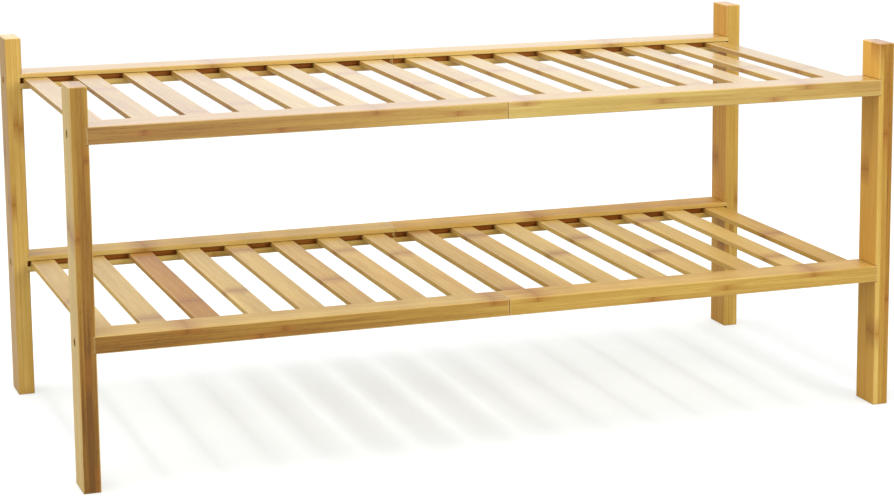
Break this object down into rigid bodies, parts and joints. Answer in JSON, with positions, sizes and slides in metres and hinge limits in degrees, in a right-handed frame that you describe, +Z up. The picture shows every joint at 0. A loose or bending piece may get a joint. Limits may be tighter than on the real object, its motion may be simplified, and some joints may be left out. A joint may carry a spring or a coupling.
{
  "type": "entryway bench",
  "caption": "Low two-tier slatted bamboo entryway rack: rectangular posts carry two open shelves of front-to-back slats held in grooved rails.",
  "frame": {"origin": "on the floor, at the centre of the footprint", "axes": "+Z up, +X along the length to the right seen from the front, -Y towards the front"},
  "size_m": [0.75, 0.366, 0.34],
  "materials": {
    "bamboo_post": "satin",
    "bamboo_rail": "satin",
    "bamboo_slat": "satin",
    "screw_steel": "satin",
    "plate_steel": "satin",
    "dowel_wood": "matte"
  },
  "bodies": {
    "root": {"lower_frame_screws": "screw_steel", "lower_join_dowels": "dowel_wood", "lower_join_plate_back": "plate_steel", "lower_join_plate_front": "plate_steel", "lower_plate_screws": "screw_steel", "lower_rail_back_left": "bamboo_rail", "lower_rail_back_right": "bamboo_rail", "lower_rail_front_left": "bamboo_rail", "lower_rail_front_right": "bamboo_rail", "lower_slat_01": "bamboo_slat", "lower_slat_02": "bamboo_slat", "lower_slat_03": "bamboo_slat", "lower_slat_04": "bamboo_slat", "lower_slat_05": "bamboo_slat", "lower_slat_06": "bamboo_slat", "lower_slat_07": "bamboo_slat", "lower_slat_08": "bamboo_slat", "lower_slat_09": "bamboo_slat", "lower_slat_10": "bamboo_slat", "lower_slat_11": "bamboo_slat", "lower_slat_12": "bamboo_slat", "lower_slat_13": "bamboo_slat", "lower_slat_14": "bamboo_slat", "lower_slat_15": "bamboo_slat", "lower_slat_16": "bamboo_slat", "post_back_left": "bamboo_post", "post_back_right": "bamboo_post", "post_front_left": "bamboo_post", "post_front_right": "bamboo_post", "top_frame_screws": "screw_steel", "top_join_dowels": "dowel_wood", "top_join_plate_back": "plate_steel", "top_join_plate_front": "plate_steel", "top_plate_screws": "screw_steel", "top_rail_back_left": "bamboo_rail", "top_rail_back_right": "bamboo_rail", "top_rail_front_left": "bamboo_rail", "top_rail_front_right": "bamboo_rail", "top_slat_01": "bamboo_slat", "top_slat_02": "bamboo_slat", "top_slat_03": "bamboo_slat", "top_slat_04": "bamboo_slat", "top_slat_05": "bamboo_slat", "top_slat_06": "bamboo_slat", "top_slat_07": "bamboo_slat", "top_slat_08": "bamboo_slat", "top_slat_09": "bamboo_slat", "top_slat_10": "bamboo_slat", "top_slat_11": "bamboo_slat", "top_slat_12": "bamboo_slat", "top_slat_13": "bamboo_slat", "top_slat_14": "bamboo_slat", "top_slat_15": "bamboo_slat", "top_slat_16": "bamboo_slat"}
  },
  "joints": []
}
